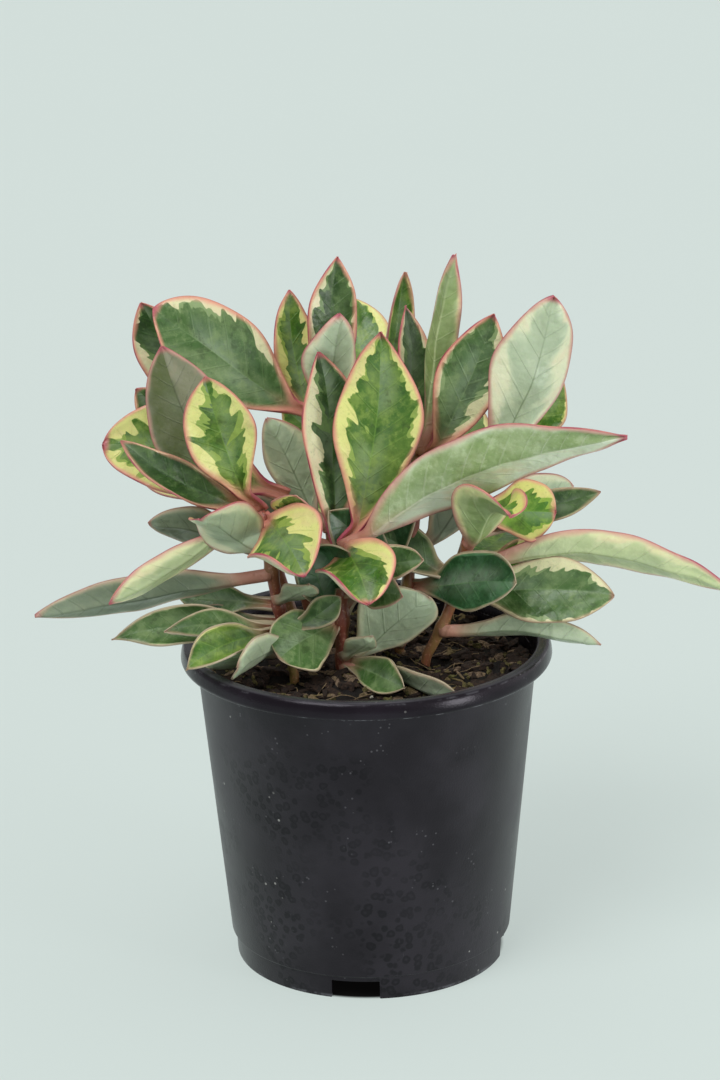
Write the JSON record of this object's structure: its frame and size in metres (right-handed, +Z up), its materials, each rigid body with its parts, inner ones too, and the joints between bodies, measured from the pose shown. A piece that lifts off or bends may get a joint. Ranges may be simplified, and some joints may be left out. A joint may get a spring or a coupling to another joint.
{
  "type": "potted peperomia",
  "caption": "Potted variegated peperomia: a bushy plant of thick waxy leaves on fleshy stems, in a round black nursery pot of bark mix.",
  "frame": {"origin": "on the pot's axis, at the surface the pot stands on", "axes": "+Z up along the pot's axis, +X to the viewer's right, +Y to the back; the plant's best side faces -Y"},
  "size_m": [0.2597, 0.1704, 0.2718],
  "materials": {
    "black_plastic": "moulded, satin, lightly scuffed",
    "bark_mix": "loose damp bark and peat",
    "fleshy_stem": "smooth, waxy",
    "waxy_leaf": "waxy, satin, green with cream and pink margins"
  },
  "bodies": {
    "root": {"leaf_back_arch": "waxy_leaf", "leaf_back_low": "waxy_leaf", "leaf_back_rise": "waxy_leaf", "leaf_back_skirt": "waxy_leaf", "leaf_back_spread": "waxy_leaf", "leaf_back_sweep": "waxy_leaf", "leaf_big_pale": "waxy_leaf", "leaf_big_slanted": "waxy_leaf", "leaf_bright_right": "waxy_leaf", "leaf_cupped": "waxy_leaf", "leaf_curl_left": "waxy_leaf", "leaf_dark_blade": "waxy_leaf", "leaf_dark_glossy": "waxy_leaf", "leaf_dark_inner": "waxy_leaf", "leaf_dark_top": "waxy_leaf", "leaf_far_right": "waxy_leaf", "leaf_front_droop": "waxy_leaf", "leaf_front_tall": "waxy_leaf", "leaf_green_blade": "waxy_leaf", "leaf_green_round": "waxy_leaf", "leaf_grey_brown": "waxy_leaf", "leaf_grey_left": "waxy_leaf", "leaf_inner_fold": "waxy_leaf", "leaf_left_back": "waxy_leaf", "leaf_left_side": "waxy_leaf", "leaf_left_sliver": "waxy_leaf", "leaf_long_left": "waxy_leaf", "leaf_long_right": "waxy_leaf", "leaf_low_right": "waxy_leaf", "leaf_lower_left": "waxy_leaf", "leaf_mid_leaf": "waxy_leaf", "leaf_olive_right": "waxy_leaf", "leaf_pale_back": "waxy_leaf", "leaf_pale_block": "waxy_leaf", "leaf_pale_curl": "waxy_leaf", "leaf_pale_front": "waxy_leaf", "leaf_pale_top": "waxy_leaf", "leaf_right_green": "waxy_leaf", "leaf_right_wide": "waxy_leaf", "leaf_round_left": "waxy_leaf", "leaf_small_green": "waxy_leaf", "leaf_small_pointed": "waxy_leaf", "leaf_tall_dark": "waxy_leaf", "leaf_tall_tip": "waxy_leaf", "leaf_thin_blade": "waxy_leaf", "leaf_thin_dark": "waxy_leaf", "leaf_yellow_left": "waxy_leaf", "leaf_yellow_wide": "waxy_leaf", "nursery_pot": "black_plastic", "potting_mix": "bark_mix", "stem_back": "fleshy_stem", "stem_back_left": "fleshy_stem", "stem_back_right": "fleshy_stem", "stem_centre": "fleshy_stem", "stem_left": "fleshy_stem", "stem_left_inner": "fleshy_stem", "stem_low_left": "fleshy_stem", "stem_right": "fleshy_stem", "stem_right_outer": "fleshy_stem", "stem_tall": "fleshy_stem"}
  },
  "joints": []
}
